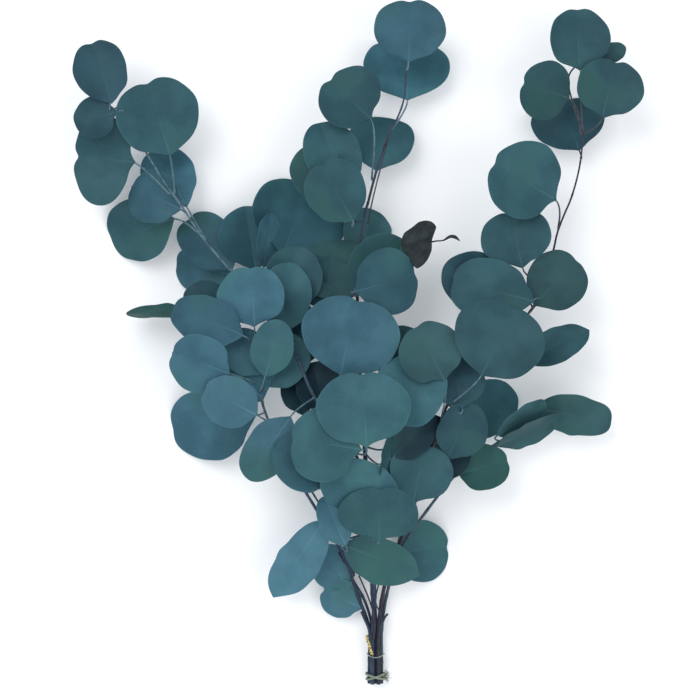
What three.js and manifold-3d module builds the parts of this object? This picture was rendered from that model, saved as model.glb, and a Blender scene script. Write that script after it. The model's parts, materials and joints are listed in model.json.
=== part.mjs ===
import * as THREE from 'three';
import { mergeVertices } from 'three/addons/utils/BufferGeometryUtils.js';
import Module from 'manifold-3d';

const wasm = await Module();
wasm.setup();

// A tied bunch of round-leaf eucalyptus branches, lying on its back on a table.
// Millimetres, +Z up. +Y runs from the cut ends to the tips. All the heights
// below are above the table, and the last step centres the bunch on X and Y.

// Leaves
const BLADE_THICK = 0.8;
const STALK_WIDE = 2;
const STALK_RADIUS = 0.75;
const STALK_STEPS = 4;
const SPOKES = 17;
const RINGS = [0.55, 1];
const CUP_SHARE = 0.09;
const NOTCH_SPREAD = 0.3;

// Clearances between pieces that lie on each other
const PILE_GAP = 1.1;
const PILE_CELL = 2;
const TOUCH_GAP = 0.45;

// The bundle of cut stems, and the two ties round it
const BUNDLE_X = 15;
const BUNDLE_Z = 8.4;
const BUNDLE_RING = 4.9;
const CUT_Y = -280;
const TIED_Y = -236;
const TIE_SIDES = 24;
const TIE_INNER = 7.2;
const TWINE_OUTER = 8.4;
const TWINE_Y = -274;
const TWINE_LONG = 6;
const WIRE_OUTER = 8;
const WIRE_Y = -256;
const WIRE_LONG = 2;
const STEM_SIDES = 8;
const STEM_STEP = 14;

const DEG = Math.PI / 180;

// ---------------------------------------------------------------- materials

function finish(color, roughness) {
  return new THREE.MeshStandardMaterial({ color, roughness, metalness: 0 });
}

const TINTS = {
  blue: finish(0x42697a, 0.62),
  teal: finish(0x3a6069, 0.62),
  green: finish(0x37605e, 0.64),
  deep: finish(0x2b4d5a, 0.66),
  pale: finish(0x567b8c, 0.58),
  grey: finish(0x3a575c, 0.66),
  dried: finish(0x2d373c, 0.8),
};
const BARK = finish(0x2a3c50, 0.7);
const BARK_RED = finish(0x3a3440, 0.7);
const BARK_PALE = finish(0x4a6478, 0.68);
const WIRE_GOLD = finish(0xb9a04c, 0.4);
const TWINE_TAN = finish(0x8f9a80, 0.85);

// -------------------------------------------------------------------- stems

// Where a stem sits in the bundle: its slot is one sixth of a turn in a ring
// round the middle stem.
function slot(sixth) {
  const turn = sixth * 60 * DEG;
  return [BUNDLE_X + BUNDLE_RING * Math.cos(turn), BUNDLE_Z + BUNDLE_RING * Math.sin(turn)];
}

function routed([x, z], route) {
  const low = [[x, CUT_Y, z], [x, (CUT_Y + TIED_Y) / 2, z], [x, TIED_Y, z]];
  return [...low, ...route].map((p) => new THREE.Vector3(...p));
}

// Each stem: its route from the ties to its tip, with the radius at each end.
const STEMS = {
  left: {
    bark: BARK,
    thick: [1.8, 0.6],
    route: routed(slot(2), [
      [14, -206, 18], [8, -140, 41], [0, -92, 62], [-34, -44, 59], [-52, -4, 52],
      [-66, 14, 51], [-86, 40, 50], [-102, 58, 49], [-127, 88, 47], [-140, 108, 46],
      [-156, 130, 45], [-170, 153, 44], [-184, 173, 43], [-191, 190, 42],
    ]),
    fork: [[-66, 14, 51], [-60, 34, 52], [-57, 54, 53]],
  },
  mid_left: {
    bark: BARK,
    thick: [1.7, 0.8],
    route: routed(slot(3), [
      [0, -206, 13], [-10, -176, 21], [-30, -140, 35], [-44, -116, 47], [-58, -90, 56],
      [-71, -62, 58], [-77, -44, 56], [-81, -22, 51], [-82, -4, 46],
    ]),
  },
  centre: {
    bark: BARK,
    thick: [2.4, 0.6],
    route: routed([BUNDLE_X, BUNDLE_Z], [
      [13, -206, 13], [9, -142, 32], [6, -86, 53], [2, -30, 52], [0, 34, 48],
      [0, 76, 50], [7, 106, 50], [16, 140, 50], [25, 166, 49], [34, 184, 48],
      [38, 200, 47], [39, 218, 46],
    ]),
    fork: [[0, 72, 50], [-6, 94, 52], [-14, 110, 53]],
  },
  right: {
    bark: BARK_RED,
    thick: [1.8, 0.6],
    route: routed(slot(1), [
      [23, -196, 18], [42, -142, 36], [59, -88, 57], [71, -51, 57], [94, -18, 53],
      [122, 10, 50], [144, 32, 50], [155, 66, 50], [161, 91, 50], [172, 118, 49],
      [179, 146, 47], [181, 168, 46],
    ]),
  },
  low_right: {
    bark: BARK_PALE,
    thick: [1.6, 0.8],
    route: routed(slot(0), [
      [24, -208, 10], [36, -168, 17], [52, -143, 23], [80, -107, 31], [98, -91, 34],
      [118, -78, 36], [136, -68, 37],
    ]),
  },
  low_left: {
    bark: BARK,
    thick: [1.5, 0.8],
    route: routed(slot(4), [[6, -212, 7], [-4, -194, 9], [-10, -181, 12], [-15, -172, 14]]),
  },
};

// ------------------------------------------------------------------- leaves

// The dried leaf has come off its stem. It is held between the others, with
// its own stalk and the curled heel of it sticking out: steps from its base.
const DRIED = { free: [[5, 2, 1], [10, 3, 2], [14, 2, 2], [18, 0, -1]] };

// Every leaf, from the table upwards: those under the stems, then those over
// them. x, y: where the blade meets its stalk. heading: 0 points to +X, 90 to
// +Y. pitch: the tip up. roll: the left side up. long, wide: the blade as seen
// from above. notch: how deep its tip is cut. bend: how far the tip curls
// down. stalk: how much of the stalk is built, where 1 reaches the stem. Where
// a stalk runs along its stem before it joins, down is how far it does so.
const UNDER = [
  // name, stem, tint, x, y, heading, pitch, roll, long, wide, notch, bend, stalk
  ['left_10', 'left', 'deep', -60, 73, 70, -20, 8, 62, 78, 0, 4, 1],
  ['left_07', 'left', 'teal', -151, 100, 194, -24, -8, 57, 52, 2, 3, 1, { down: 20 }],
  ['left_06', 'left', 'blue', -140, 113, 120, -16, 12, 54, 42, 0, 3, 1, { down: 25 }],
  ['left_05', 'left', 'blue', -144, 108, 155, -14, -6, 45, 43, 2, 3, 1],
  ['left_09', 'left', 'blue', -105, 56, 170, -16, -10, 48, 37, 2, 3, 0.5],
  ['left_08', 'left', 'blue', -103, 61, 131, -12, 10, 58, 43, 3, 4, 1],
  ['top_04', 'centre', 'teal', 16, 142, 80, -22, -8, 46, 54, 0, 3, 1],
  ['top_05', 'centre', 'grey', 3, 68, 78, -14, 8, 44, 40, 0, 3, 0.6],
  ['top_02', 'centre', 'deep', 41, 199, 93, -20, 6, 53, 71, 3, 4, 1, { down: 20 }],
  ['mid_01', 'centre', 'grey', -10, 34, 105, -14, 10, 52, 62, 0, 4, 1],
  ['mid_08', 'mid_left', 'blue', -86, -60, 190, -20, -6, 70, 60, 2, 3, 1],
  ['front_13', 'low_right', 'teal', 31, -173, 5, -6, 8, 46, 52, 3, 2, 1],
  ['right_05', 'right', 'deep', 180, 158, 110, -24, 6, 46, 61, 2, 4, 1],
  ['right_14', 'right', 'teal', 98, -77, 64, -22, -10, 52, 42, 0, 3, 1],
];
const OVER = [
  ['left_03', 'left', 'teal', -181, 145, 175, 4, -8, 48, 72, 4, 5, 1, { down: 30 }],
  ['left_04', 'left', 'teal', -151, 152, 107, 8, 8, 62, 66, 4, 5, 1, { down: 18 }],
  ['left_01', 'left', 'blue', -197, 192, 107, 6, 8, 51, 42, 3, 3, 0.2],
  ['mid_02', 'centre', 'teal', -4, 42, 42, 4, -8, 58, 46, 0, 3, 0.9],
  ['mid_03', 'centre', 'deep', 0, 41, 17, -4, 6, 50, 53, 2, 3, 1],
  ['top_06', 'centre', 'teal', -10, 120, 109, -4, 8, 62, 45, 2, 4, 1],
  ['top_07', 'centre', 'teal', -4, 98, 120, 8, -8, 53, 48, 3, 4, 1],
  ['top_03', 'centre', 'teal', 10, 180, 136, 8, 8, 46, 54, 3, 4, 1, { down: 40 }],
  ['top_01', 'centre', 'blue', 41, 227, 88, 8, 6, 48, 58, 2, 4, 0.5],
  ['mid_05', 'mid_left', 'teal', -60, 10, 85, 4, 8, 54, 42, 0, 3, 1],
  ['mid_04', 'mid_left', 'blue', -82, 14, 95, 8, -6, 47, 54, 3, 4, 1],
  ['mid_06', 'mid_left', 'blue', -92, 6, 159, 4, 10, 59, 39, 2, 3, 0.8],
  ['mid_10', 'mid_left', 'teal', -73, -26, 75, 8, -8, 45, 34, 0, 3, 1],
  ['mid_07', 'mid_left', 'blue', -102, -24, 161, 4, -6, 48, 46, 3, 4, 1],
  ['mid_09', 'mid_left', 'pale', -80, -57, 153, 6, 8, 46, 40, 2, 3, 1],
  ['front_07', 'left', 'pale', -54, -60, 236, 2, -12, 58, 38, 0, 4, 1],
  ['front_08', 'mid_left', 'blue', -20, -108, 148, 0, 8, 52, 46, 0, 2, 1],
  ['front_10', 'centre', 'teal', -9, -138, 62, 4, 6, 48, 67, 0, 3, 1],
  ['front_12', 'centre', 'grey', -10, -164, 337, -4, 10, 62, 38, 0, 3, 1],
  ['front_11', 'centre', 'teal', 17, -155, 90, 6, -6, 42, 64, 3, 4, 0.5],
  ['front_14', 'mid_left', 'pale', -28, -147, 237, -6, -10, 70, 36, 0, 5, 1],
  ['front_06', 'centre', 'teal', 0, -84, 172, 4, 8, 54, 59, 2, 4, 1],
  ['front_01', 'left', 'blue', -13, -24, 76, 6, 6, 62, 78, 4, 6, 1],
  ['front_04', 'centre', 'teal', 7, -80, 95, 8, -6, 58, 74, 4, 6, 0.4],
  ['right_09', 'right', 'grey', 142, 31, 47, -2, -6, 50, 48, 2, 3, 1],
  ['right_07', 'right', 'teal', 131, 61, 102, 2, -8, 46, 56, 3, 3, 0.3],
  ['right_10', 'right', 'teal', 137, 34, 167, -4, 8, 66, 50, 2, 4, 0.2],
  ['right_12', 'right', 'teal', 136, -16, 29, -4, -30, 54, 28, 0, 3, 1],
  ['right_16', 'low_right', 'green', 82, -106, 15, 4, -8, 42, 37, 2, 3, 1],
  ['right_15', 'right', 'deep', 72, -91, 62, 4, 8, 47, 40, 0, 3, 1],
  ['right_18', 'low_right', 'grey', 145, -52, 348, -6, 8, 66, 33, 3, 7, 1],
  ['right_02', 'right', 'teal', 169, 196, 162, 6, -6, 40, 48, 3, 3, 1],
  ['right_01', 'right', 'teal', 178, 219, 93, 6, 6, 48, 49, 2, 3, 0.6],
  ['right_03', 'right', 'teal', 196, 181, 77, 8, -8, 46, 53, 3, 4, 1],
  ['right_06', 'right', 'teal', 156, 114, 149, 8, 8, 57, 64, 3, 4, 1, { down: 18 }],
  ['right_11', 'right', 'grey', 68, -29, 117, 4, 6, 48, 51, 2, 4, 1, { down: 20 }],
  ['right_13', 'right', 'teal', 98, -25, 65, 8, -6, 61, 72, 4, 6, 1, { down: 22 }],
  ['dried', 'centre', 'dried', 60, 81, 178, -4, 14, 28, 39, 0, -4, 1, DRIED],
];

// ------------------------------------------------------------ stems as tubes

// A closed round bar along a curve, with a radius that changes evenly from
// its start to its end.
function taperedBar(curve, [startRadius, endRadius], sides, step) {
  const rings = Math.max(2, Math.round(curve.getLength() / step)) + 1;
  const frames = curve.computeFrenetFrames(rings - 1, false);
  const spots = [];
  for (let i = 0; i < rings; i += 1) {
    const share = i / (rings - 1);
    const middle = curve.getPointAt(share);
    const radius = startRadius + (endRadius - startRadius) * share;
    for (let k = 0; k < sides; k += 1) {
      const turn = (k / sides) * 2 * Math.PI;
      const out = frames.normals[i].clone().multiplyScalar(Math.cos(turn) * radius);
      out.addScaledVector(frames.binormals[i], Math.sin(turn) * radius);
      spots.push(out.add(middle));
    }
  }
  const faces = [];
  for (let i = 0; i < rings - 1; i += 1) {
    for (let k = 0; k < sides; k += 1) {
      const a = i * sides + k;
      const b = i * sides + ((k + 1) % sides);
      faces.push([a, b, b + sides], [a, b + sides, a + sides]);
    }
  }
  const last = (rings - 1) * sides;
  for (let k = 1; k < sides - 1; k += 1) {
    faces.push([0, k + 1, k], [last, last + k, last + k + 1]);
  }
  return solidOf(spots, faces);
}

function solidOf(spots, faces) {
  const geometry = new THREE.BufferGeometry();
  geometry.setAttribute('position', new THREE.Float32BufferAttribute(spots.flatMap((p) => p.toArray()), 3));
  geometry.setIndex(faces.flat());
  return geometry;
}

function toManifold(geometry) {
  const merged = mergeVertices(geometry, 1e-4);
  return new wasm.Manifold(new wasm.Mesh({
    numProp: 3,
    vertProperties: new Float32Array(merged.attributes.position.array),
    triVerts: new Uint32Array(merged.index.array),
  }));
}

function fromManifold(body) {
  const mesh = body.getMesh();
  const geometry = new THREE.BufferGeometry();
  geometry.setAttribute('position', new THREE.Float32BufferAttribute(mesh.vertProperties, 3));
  geometry.setIndex(Array.from(mesh.triVerts));
  return geometry;
}

for (const stem of Object.values(STEMS)) {
  stem.curve = new THREE.CatmullRomCurve3(stem.route, false, 'centripetal');
  stem.geometry = taperedBar(stem.curve, stem.thick, STEM_SIDES, STEM_STEP);
  stem.walks = [{ curve: stem.curve, thick: stem.thick }];
  if (stem.fork) {
    const side = new THREE.CatmullRomCurve3(stem.fork.map((p) => new THREE.Vector3(...p)));
    const thick = [stem.thick[1] * 1.1, stem.thick[1] * 0.9];
    const bar = taperedBar(side, thick, STEM_SIDES, STEM_STEP);
    stem.geometry = fromManifold(toManifold(stem.geometry).add(toManifold(bar)));
    stem.walks.push({ curve: side, thick });
  }
}

// ---------------------------------------------------------- the shape of one

// A blade's own sheet: turn 0 is its tip and half a turn its base; reach is 0
// in its middle and 1 on its edge. Returns a point at height 0, before the
// leaf has settled on what lies under it.
function sheet(leaf) {
  const long = leaf.long / Math.cos(leaf.pitch * DEG);
  const wide = leaf.wide / Math.cos(leaf.roll * DEG);
  const facing = new THREE.Matrix4().makeRotationZ(leaf.heading * DEG);
  facing.multiply(new THREE.Matrix4().makeRotationY(-leaf.pitch * DEG));
  facing.multiply(new THREE.Matrix4().makeRotationX(leaf.roll * DEG));
  const cup = CUP_SHARE * wide * (leaf.cup ?? 1);
  return (turn, reach) => {
    const dip = leaf.notch * Math.exp(-((turn / NOTCH_SPREAD) ** 2));
    const edge = 0.5 * long * Math.cos(turn) - dip;
    const along = 0.5 * long + edge * reach;
    const across = 0.5 * wide * Math.sin(turn) * reach;
    const lift = cup * (2 * across / wide) ** 2 - leaf.bend * (along / long) ** 2;
    const point = new THREE.Vector3(along, across, lift).applyMatrix4(facing);
    return point.add(new THREE.Vector3(leaf.x, leaf.y, 0));
  };
}

// --------------------------------------------------- laying leaves on a pile

// The height of the pile so far, over square cells of the table.
const pile = new Map();

function cellOf(x, y) {
  return [Math.floor(x / PILE_CELL), Math.floor(y / PILE_CELL)];
}

function addToPile(point, half) {
  const key = cellOf(point.x, point.y).join();
  pile.set(key, Math.max(pile.get(key) ?? 0, point.z + half));
}

function pileUnder(x, y) {
  const [i, j] = cellOf(x, y);
  let top = 0;
  for (let di = -1; di <= 1; di += 1) {
    for (let dj = -1; dj <= 1; dj += 1) {
      top = Math.max(top, pile.get([i + di, j + dj].join()) ?? 0);
    }
  }
  return top;
}

function samples(leaf) {
  const points = [];
  for (let reach = 0; reach <= 1.001; reach += 1 / 14) {
    const around = Math.max(1, Math.round(64 * reach));
    for (let i = 0; i < around; i += 1) {
      points.push(leaf.sheet((i / around) * 2 * Math.PI - Math.PI, reach));
    }
  }
  return points;
}

// Lowers a leaf until it nearly touches the table or the pile.
function settle(leaf) {
  let rise = -Infinity;
  for (const point of samples(leaf)) {
    const under = pileUnder(point.x, point.y);
    const clear = under > 0 ? PILE_GAP : 0;
    rise = Math.max(rise, under + clear + BLADE_THICK / 2 - point.z);
  }
  leaf.rise = Math.max(rise, leaf.least);
}

// The height of a leaf's stem, where the stem passes nearest to the leaf.
function stemHeight(leaf) {
  let best = null;
  for (const { curve } of leaf.stem.walks) {
    for (let i = 0; i <= 200; i += 1) {
      const spot = curve.getPointAt(i / 200);
      const far = Math.hypot(spot.x - leaf.x, spot.y - leaf.y);
      if (!best || far < best.far) {
        best = { far, height: spot.z };
      }
    }
  }
  return best.height;
}

function raised(leaf, turn, reach) {
  const point = leaf.sheet(turn, reach);
  point.z += leaf.rise;
  return point;
}

// The place on a stem nearest to a point: its curve and the share along it.
function nearestOn(stem, point) {
  let best = null;
  for (const { curve, thick } of stem.walks) {
    for (let i = 0; i <= 200; i += 1) {
      const spot = curve.getPointAt(i / 200);
      const far = spot.distanceTo(point);
      if (!best || far < best.far) {
        best = { far, curve, thick, share: i / 200 };
      }
    }
  }
  return best;
}

// The place so many millimetres further down the same stem: its spot, the
// stem's direction and radius there.
function downFrom({ curve, thick, share }, down) {
  const low = Math.max(0, share - down / curve.getLength());
  const radius = thick[0] + (thick[1] - thick[0]) * low;
  return { spot: curve.getPointAt(low), along: curve.getTangentAt(low), radius };
}

// The stalk: from the blade's base, on in the blade's own direction, and then
// over to its stem, at the nearest place or further down it.
function stalkOf(leaf) {
  const base = raised(leaf, Math.PI, 1);
  if (leaf.free) {
    return [base, ...leaf.free.map((step) => new THREE.Vector3(...step).add(base))];
  }
  const inner = raised(leaf, Math.PI, 0.6);
  const back = base.clone().sub(inner).normalize();
  const near = nearestOn(leaf.stem, base);
  const aim = base.clone().addScaledVector(back, Math.min(12, near.far));
  const best = downFrom(nearestOn(leaf.stem, aim), leaf.down ?? 0);
  const room = leaf.down ? near.far : base.distanceTo(best.spot);
  const elbow = base.clone().addScaledVector(back, Math.min(9, 0.45 * room));
  const side = elbow.clone().sub(best.spot);
  side.addScaledVector(best.along, -side.dot(best.along)).normalize();
  const end = best.spot.clone().addScaledVector(side, best.radius + STALK_RADIUS + TOUCH_GAP);
  const full = new THREE.QuadraticBezierCurve3(base, elbow, end);
  const points = [];
  for (let i = 0; i <= STALK_STEPS; i += 1) {
    points.push(full.getPoint((i / STALK_STEPS) * leaf.stalk));
  }
  return points;
}

// One leaf as a closed body: two skins of the blade joined at the rim, with
// the stalk drawn out of the rim's face at the base.
function leafGeometry(leaf) {
  const gap = Math.asin(STALK_WIDE / 2 / (leaf.wide / 2));
  const turns = [];
  for (let i = 0; i < SPOKES; i += 1) {
    turns.push((Math.PI - gap) * (2 * i / (SPOKES - 1) - 1));
  }
  const mid = raised(leaf, 0, 0);
  const up = new THREE.Vector3(0, 0, 0);
  for (let i = 0; i < SPOKES - 1; i += 1) {
    const a = raised(leaf, turns[i], 0.5).sub(mid);
    const b = raised(leaf, turns[i + 1], 0.5).sub(mid);
    up.add(a.cross(b));
  }
  up.normalize();
  const half = up.clone().multiplyScalar(BLADE_THICK / 2);
  const spots = [];
  for (const sign of [1, -1]) {
    spots.push(mid.clone().addScaledVector(half, sign));
    for (const reach of RINGS) {
      for (const turn of turns) {
        spots.push(raised(leaf, turn, reach).addScaledVector(half, sign));
      }
    }
  }
  const skin = 1 + RINGS.length * SPOKES;
  const faces = [];
  const both = (a, b, c) => faces.push([a, b, c], [skin + a, skin + c, skin + b]);
  for (let i = 0; i < SPOKES; i += 1) {
    const next = (i + 1) % SPOKES;
    both(0, 1 + i, 1 + next);
    for (let ring = 0; ring < RINGS.length - 1; ring += 1) {
      const a = 1 + ring * SPOKES;
      both(a + i, a + SPOKES + i, a + SPOKES + next);
      both(a + i, a + SPOKES + next, a + next);
    }
  }
  const rim = 1 + (RINGS.length - 1) * SPOKES;
  for (let i = 0; i < SPOKES - 1; i += 1) {
    const a = rim + i;
    faces.push([a, skin + a, skin + a + 1], [a, skin + a + 1, a + 1]);
  }
  // The stalk's four corners start as the open face between the last spoke
  // and the first.
  let from = [rim + SPOKES - 1, rim, skin + rim, skin + rim + SPOKES - 1];
  const path = leaf.stalkPath;
  for (let i = 1; i < path.length; i += 1) {
    const ahead = path[i].clone().sub(path[i - 1]).normalize();
    const across = new THREE.Vector3().crossVectors(ahead, up).normalize();
    const over = new THREE.Vector3().crossVectors(across, ahead).normalize();
    const start = spots.length;
    for (const [u, v] of [[1, 1], [-1, 1], [-1, -1], [1, -1]]) {
      const corner = path[i].clone().addScaledVector(across, u * STALK_RADIUS);
      spots.push(corner.addScaledVector(over, v * STALK_RADIUS));
    }
    const to = [start, start + 1, start + 2, start + 3];
    for (let k = 0; k < 4; k += 1) {
      const n = (k + 1) % 4;
      faces.push([from[k], to[k], to[n]], [from[k], to[n], from[n]]);
    }
    from = to;
  }
  faces.push([from[0], from[3], from[2]], [from[0], from[2], from[1]]);
  return solidOf(spots, faces);
}

function readRow(row) {
  const [name, stem, tint, x, y, heading, pitch, roll, long, wide, notch, bend, stalk, extra] = row;
  const leaf = { name, tint, x, y, heading, pitch, roll, long, wide, notch, bend, stalk, ...extra };
  leaf.stem = STEMS[stem];
  leaf.sheet = sheet(leaf);
  return leaf;
}

const under = UNDER.map(readRow);
const over = OVER.map(readRow);

function pileBlade(leaf) {
  samples(leaf).forEach((point) => {
    addToPile(point.setZ(point.z + leaf.rise), BLADE_THICK / 2);
  });
}

function pileStalk(leaf) {
  for (let i = 1; i < leaf.stalkPath.length; i += 1) {
    for (let share = 0; share <= 1; share += 0.25) {
      addToPile(leaf.stalkPath[i - 1].clone().lerp(leaf.stalkPath[i], share), STALK_RADIUS);
    }
  }
}

for (const leaf of under) {
  leaf.least = 0;
  settle(leaf);
  pileBlade(leaf);
  leaf.stalkPath = stalkOf(leaf);
}
for (const stem of Object.values(STEMS)) {
  for (const { curve, thick } of stem.walks) {
    for (const point of curve.getSpacedPoints(Math.round(curve.getLength()))) {
      addToPile(point, Math.max(...thick));
    }
  }
}
under.forEach(pileStalk);
for (const leaf of over) {
  leaf.least = stemHeight(leaf);
  settle(leaf);
  pileBlade(leaf);
  leaf.stalkPath = stalkOf(leaf);
  pileStalk(leaf);
}

// ----------------------------------------------------------------- the ties

function tieBand(inner, outer, y, long) {
  const half = long / 2;
  const profile = [[inner, -half], [outer, -half], [outer, half], [inner, half], [inner, -half]];
  const corners = profile.map((corner) => new THREE.Vector2(...corner));
  const geometry = new THREE.LatheGeometry(corners, TIE_SIDES);
  return geometry.translate(BUNDLE_X, y, BUNDLE_Z);
}

// --------------------------------------------------------------- the object

const group = new THREE.Group();

function addPiece(name, geometry, material) {
  const mesh = new THREE.Mesh(geometry, material);
  mesh.name = name;
  group.add(mesh);
}

for (const [name, stem] of Object.entries(STEMS)) {
  addPiece(`stem_${name}`, stem.geometry, stem.bark);
}
for (const leaf of [...under, ...over]) {
  addPiece(`leaf_${leaf.name}`, leafGeometry(leaf), TINTS[leaf.tint]);
}
addPiece('tie_twine', tieBand(TIE_INNER, TWINE_OUTER, TWINE_Y, TWINE_LONG), TWINE_TAN);
addPiece('tie_wire', tieBand(TIE_INNER, WIRE_OUTER, WIRE_Y, WIRE_LONG), WIRE_GOLD);

const box = new THREE.Box3().setFromObject(group);
group.position.x = -(box.min.x + box.max.x) / 2;
group.position.y = -(box.min.y + box.max.y) / 2;

export default group;
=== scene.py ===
import json
import math
import random

import bpy
import numpy as np
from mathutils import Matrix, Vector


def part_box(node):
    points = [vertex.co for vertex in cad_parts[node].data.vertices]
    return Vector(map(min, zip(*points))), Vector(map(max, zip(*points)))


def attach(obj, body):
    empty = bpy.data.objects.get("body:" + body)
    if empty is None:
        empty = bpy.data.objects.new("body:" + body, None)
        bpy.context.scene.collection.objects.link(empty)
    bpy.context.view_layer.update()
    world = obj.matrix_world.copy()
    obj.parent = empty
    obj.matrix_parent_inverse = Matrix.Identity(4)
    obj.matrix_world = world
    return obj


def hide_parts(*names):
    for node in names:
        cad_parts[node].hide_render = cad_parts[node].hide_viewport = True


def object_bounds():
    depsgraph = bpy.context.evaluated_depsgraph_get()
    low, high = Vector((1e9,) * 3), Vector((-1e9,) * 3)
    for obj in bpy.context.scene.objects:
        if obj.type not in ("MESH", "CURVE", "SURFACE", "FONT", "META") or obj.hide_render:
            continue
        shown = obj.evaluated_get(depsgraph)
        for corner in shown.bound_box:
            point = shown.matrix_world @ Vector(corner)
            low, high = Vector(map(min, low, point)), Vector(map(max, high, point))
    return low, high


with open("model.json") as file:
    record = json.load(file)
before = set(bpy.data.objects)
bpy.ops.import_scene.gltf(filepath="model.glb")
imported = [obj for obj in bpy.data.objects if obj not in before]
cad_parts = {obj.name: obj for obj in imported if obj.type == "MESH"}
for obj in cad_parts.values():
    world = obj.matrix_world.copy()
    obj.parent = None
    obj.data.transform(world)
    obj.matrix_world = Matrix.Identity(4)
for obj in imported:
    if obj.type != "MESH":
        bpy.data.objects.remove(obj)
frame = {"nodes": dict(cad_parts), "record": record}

MM = 0.001
cad_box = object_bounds()
slot_of = {part["node"]: part["material_slot"] for part in frame["record"]["subparts"]}


# ---------------------------------------------------------------- the stems
# Six dyed green branches, two of them forked. Each is a slim round shoot,
# thicker at the cut end, with a ring where a leaf pair grew and fine
# lengthwise wrinkles where it dried.

STEM_SIDES = 14
STEM_STEP = 2.2 * MM
CURVE_STEPS = 12

# A shoot's line follows the rings of its CAD bar. The next ring is one that is
# near, straight on and about as thick. A swollen ring is where a fork joins.
RING_REACH = 7 * MM
NEXT_RING = 24 * MM
TURN_COST = 2.2
RADIUS_COST = 8
SWOLLEN = 1.3

# The rings that the leaf pairs left on the bark, each with a dark scar.
NODE_EVERY = 27 * MM
NODE_SWELL = 0.22
NODE_LONG = 1.5 * MM
SCAR_AFTER = 1.1 * MM
SCAR_LONG = 0.7 * MM
WRINKLE = 0.035

# The cut wood's colours, then each bark: its darker and its lighter colour.
CUT_LIGHT = (0.30, 0.34, 0.27)
CUT_DARK = (0.14, 0.19, 0.18)
BARKS = {
    "bark": ((0.013, 0.025, 0.047), (0.025, 0.048, 0.086)),
    "bark_red": ((0.019, 0.018, 0.029), (0.033, 0.033, 0.050)),
    "bark_pale": ((0.022, 0.046, 0.066), (0.044, 0.084, 0.112)),
}

# How far the young wood of a shoot is still covered in pale bloom, which
# starts where the shoot is thinner than BLOOM_THICK.
BLOOM = {"stem_left": 0.85, "stem_mid_left": 0.75, "stem_low_right": 0.4}
BLOOM_TINT = (0.105, 0.180, 0.225)
BLOOM_THICK = 1.35 * MM
BLOOM_FULL = 0.95 * MM


def node_shape(name):
    """A CAD node's corners, each once, and its edges as pairs of corner numbers."""
    mesh = frame["nodes"][name].data
    number, corners, of = {}, [], []
    for vertex in mesh.vertices:
        key = tuple(round(value * 1e6) for value in vertex.co)
        if key not in number:
            number[key] = len(corners)
            corners.append(tuple(vertex.co))
        of.append(number[key])
    edges = set()
    for face in mesh.polygons:
        ring = [of[i] for i in face.vertices]
        for a, b in zip(ring, ring[1:] + ring[:1]):
            if a != b:
                edges.add((min(a, b), max(a, b)))
    return np.array(corners), sorted(edges)


def run_along(points):
    """How far along a line of points each of them lies."""
    return np.concatenate([[0], np.cumsum(np.linalg.norm(np.diff(points, axis=0), axis=1))])


def smooth_path(points, step):
    """Points along a smooth curve through the given ones, about step apart."""
    points = np.asarray(points, float)
    fine = []
    last = len(points) - 1
    for i in range(last):
        p0 = points[max(i - 1, 0)]
        p1, p2 = points[i], points[i + 1]
        p3 = points[min(i + 2, last)]
        for t in np.linspace(0, 1, CURVE_STEPS, endpoint=False):
            fine.append(0.5 * (2 * p1 + (p2 - p0) * t + (2 * p0 - 5 * p1 + 4 * p2 - p3) * t**2
                               + (3 * p1 - p0 - 3 * p2 + p3) * t**3))
    fine.append(points[last])
    fine = np.array(fine)
    run = run_along(fine)
    count = max(3, int(round(run[-1] / step)) + 1)
    at = np.linspace(0, run[-1], count)
    return np.column_stack([np.interp(at, run, fine[:, k]) for k in range(3)])


def tube(path, radii, sides, first=0):
    """Corners and faces of a closed round bar along a path; numbers start at first."""
    path = np.asarray(path, float)
    ahead = np.gradient(path, axis=0)
    ahead /= np.linalg.norm(ahead, axis=1)[:, None]
    side = np.cross(ahead[0], (0.3, 0.2, 0.93))
    side /= np.linalg.norm(side)
    corners = []
    for i, centre in enumerate(path):
        side = side - ahead[i] * side.dot(ahead[i])
        side /= np.linalg.norm(side)
        up = np.cross(ahead[i], side)
        for k in range(sides):
            turn = 2 * math.pi * k / sides
            radius = radii[i] if np.isscalar(radii[i]) else radii[i][k]
            corners.append(centre + radius * (math.cos(turn) * side + math.sin(turn) * up))
    faces = []
    for i in range(len(path) - 1):
        for k in range(sides):
            a, b = first + i * sides + k, first + i * sides + (k + 1) % sides
            faces.append((a, b, b + sides, a + sides))
    caps = [tuple(first + k for k in reversed(range(sides))),
            tuple(first + (len(path) - 1) * sides + k for k in range(sides))]
    return corners, faces, caps


def new_piece(name, corners, faces, materials, of_face=None, smooth=True):
    """A mesh object made of corners and faces, shown and riding on the one body."""
    mesh = bpy.data.meshes.new(name)
    mesh.from_pydata([tuple(float(v) for v in c) for c in corners], [], [tuple(f) for f in faces])
    for material in materials:
        mesh.materials.append(material)
    if of_face is not None:
        mesh.polygons.foreach_set("material_index", of_face)
    mesh.polygons.foreach_set("use_smooth", [smooth] * len(mesh.polygons))
    mesh.update()
    piece = bpy.data.objects.new(name, mesh)
    bpy.context.scene.collection.objects.link(piece)
    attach(piece, "root")
    return piece


def add_values(piece, name, values, kind="FLOAT"):
    """Stores one number, or one triple, per corner."""
    layer = piece.data.attributes.new(name, kind, "POINT")
    field = "value" if kind == "FLOAT" else "vector"
    layer.data.foreach_set(field, np.asarray(values, np.float32).ravel())


def ring_middles(name):
    """The middles of a CAD bar's rings of corners, in no order, with their radii."""
    corners = node_shape(name)[0]
    left = list(range(len(corners)))
    middles = []
    while left:
        seed = corners[left[0]]
        near = [i for i in left if np.linalg.norm(corners[i] - seed) < RING_REACH]
        middle = corners[near].mean(axis=0)
        middles.append((middle, float(np.linalg.norm(corners[near] - middle, axis=1).mean())))
        left = [i for i in left if i not in near]
    return middles


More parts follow.
